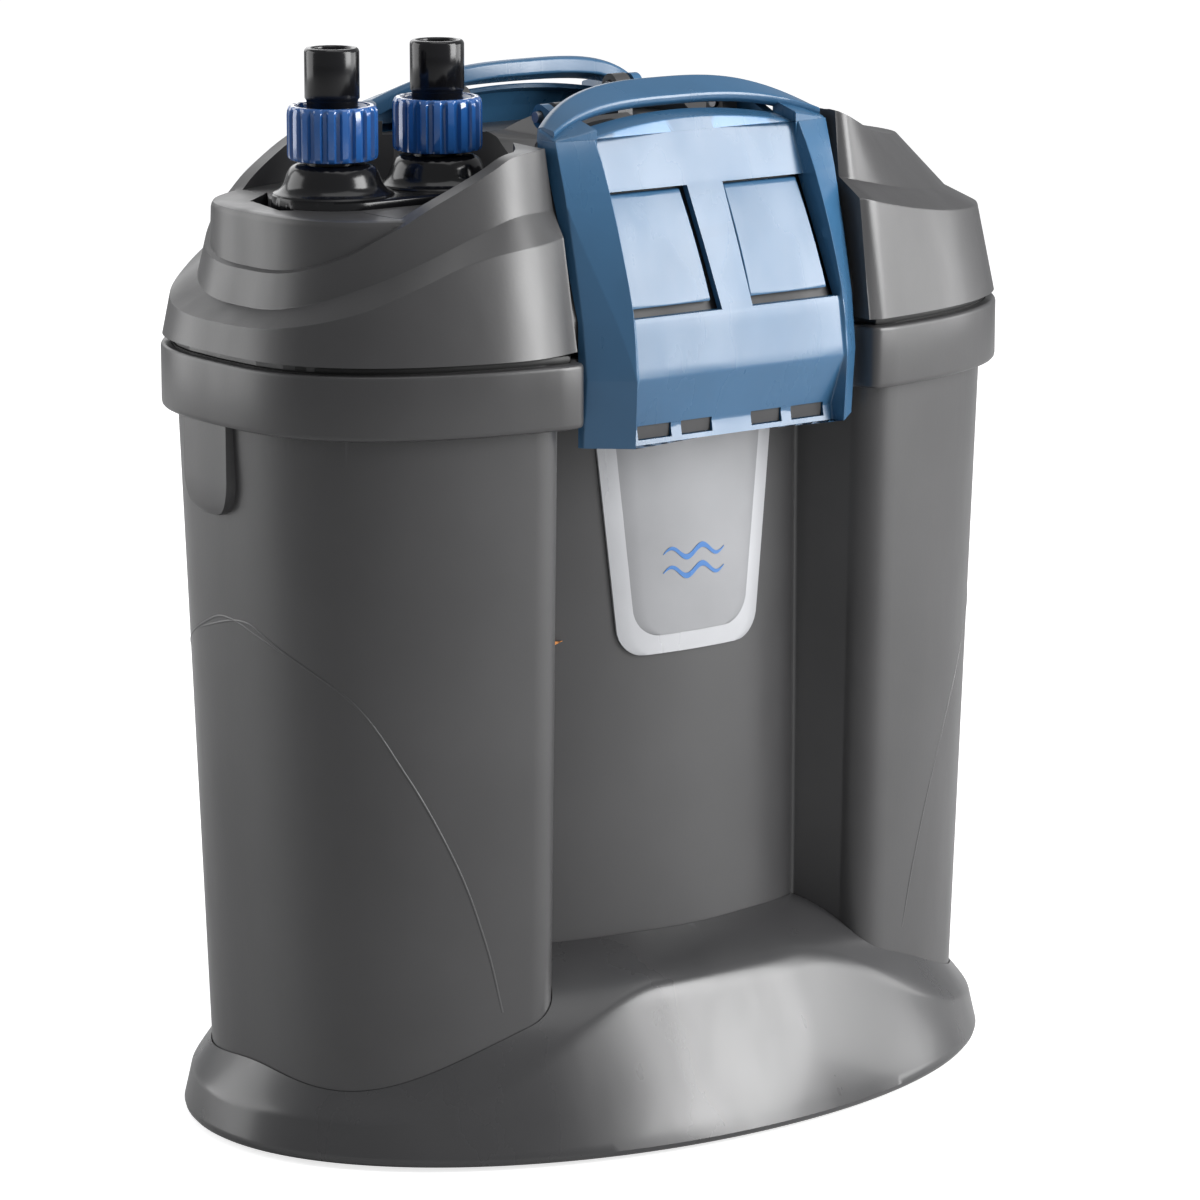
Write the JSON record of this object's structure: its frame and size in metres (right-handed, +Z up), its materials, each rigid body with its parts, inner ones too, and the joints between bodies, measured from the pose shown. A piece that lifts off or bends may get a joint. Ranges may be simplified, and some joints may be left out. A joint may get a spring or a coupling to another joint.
{
  "type": "canister water filter with pump head",
  "caption": "Dark grey oval canister water filter in a flared foot, with blue over-centre clamps, a pump head, black hose nozzles with blue fluted nuts, and lift-out filter baskets.",
  "frame": {"origin": "middle of the underside, on the plane the rubber feet stand on", "axes": "+X along the long axis away from the hose unit, -Y towards the side with the badge, +Z up"},
  "size_m": [0.3006, 0.2038, 0.3506],
  "materials": {
    "housing": "satin",
    "foot": "satin gloss",
    "clamp_blue": "satin",
    "nut_blue": "glossy",
    "gloss_black": "glossy",
    "badge_silver": "silver satin",
    "badge_grey": "satin",
    "seal_rubber": "matte",
    "stainless": "brushed",
    "ceramic": "smooth",
    "ferrite": "matte",
    "impeller_white": "satin",
    "tray_grey": "satin",
    "coarse_foam": "open-cell foam",
    "fine_foam": "open-cell foam",
    "bio_media": "porous"
  },
  "bodies": {
    "canister": {"container": "housing", "base": "foot", "rubber_foot_1": "seal_rubber", "rubber_foot_2": "seal_rubber", "rubber_foot_3": "seal_rubber", "rubber_foot_4": "seal_rubber", "badge_plate": "badge_silver", "badge_panel": "badge_grey", "lid_seal": "seal_rubber"},
    "head": {"lid": "housing", "head_plate": "housing", "motor_housing": "gloss_black", "impeller_shaft": "ceramic", "shaft_bush_upper": "seal_rubber", "shaft_bush_lower": "seal_rubber", "impeller_cover": "gloss_black", "intake_pipe": "gloss_black", "outlet_duct": "gloss_black", "cable_gland": "seal_rubber", "front_clamp_pin_a": "stainless", "front_clamp_pin_b": "stainless", "rear_clamp_pin_a": "stainless", "rear_clamp_pin_b": "stainless"},
    "clamp_front": {"front_clamp": "clamp_blue", "front_clamp_plate": "clamp_blue"},
    "clamp_rear": {"rear_clamp": "clamp_blue", "rear_clamp_plate": "clamp_blue"},
    "hose_unit": {"hose_unit_body": "gloss_black", "inlet_spigot": "gloss_black", "outlet_spigot": "gloss_black", "inlet_o_ring": "seal_rubber", "outlet_o_ring": "seal_rubber"},
    "nut_inlet": {"inlet_union_nut": "nut_blue"},
    "nut_outlet": {"outlet_union_nut": "nut_blue"},
    "rotor": {"rotor_magnet": "ferrite", "impeller": "impeller_white"},
    "lower_stage": {"lower_basket": "tray_grey", "coarse_foam": "coarse_foam"},
    "middle_stage": {"middle_basket": "tray_grey", "bio_media": "bio_media"},
    "upper_stage": {"upper_basket": "tray_grey", "fine_foam": "fine_foam"}
  },
  "joints": [
    {"name": "lid_lift", "type": "slide", "parent": "canister", "child": "head", "axis": [0, 0, 1], "range_m": [0, 0.3]},
    {"name": "front_clamp_hinge", "type": "hinge", "parent": "head", "child": "clamp_front", "pos_m": [0, -0.028, 0.327], "axis": [-1, 0, 0], "range_deg": [0, 100]},
    {"name": "rear_clamp_hinge", "type": "hinge", "parent": "head", "child": "clamp_rear", "pos_m": [0, 0.028, 0.327], "axis": [1, 0, 0], "range_deg": [0, 100]},
    {"name": "hose_unit_lift", "type": "slide", "parent": "head", "child": "hose_unit", "axis": [0, 0, 1], "range_m": [0, 0.04]},
    {"name": "inlet_nut_turn", "type": "hinge", "parent": "hose_unit", "child": "nut_inlet", "pos_m": [-0.1017, 0, 0.324], "axis": [0, 0, 1], "continuous": true},
    {"name": "outlet_nut_turn", "type": "hinge", "parent": "hose_unit", "child": "nut_outlet", "pos_m": [-0.061, 0, 0.324], "axis": [0, 0, 1], "continuous": true},
    {"name": "rotor_spin", "type": "hinge", "parent": "head", "child": "rotor", "pos_m": [0.066, 0, 0.27], "axis": [0, 0, 1], "continuous": true},
    {"name": "lower_basket_lift", "type": "slide", "parent": "canister", "child": "lower_stage", "axis": [0, 0, 1], "range_m": [0, 0.075]},
    {"name": "middle_basket_lift", "type": "slide", "parent": "canister", "child": "middle_stage", "axis": [0, 0, 1], "range_m": [0, 0.15]},
    {"name": "upper_basket_lift", "type": "slide", "parent": "canister", "child": "upper_stage", "axis": [0, 0, 1], "range_m": [0, 0.225]}
  ],
  "couplings": [
    {"joint": "lower_basket_lift", "follows": "lid_lift", "ratio": 0.25},
    {"joint": "middle_basket_lift", "follows": "lid_lift", "ratio": 0.5},
    {"joint": "upper_basket_lift", "follows": "lid_lift", "ratio": 0.75}
  ]
}
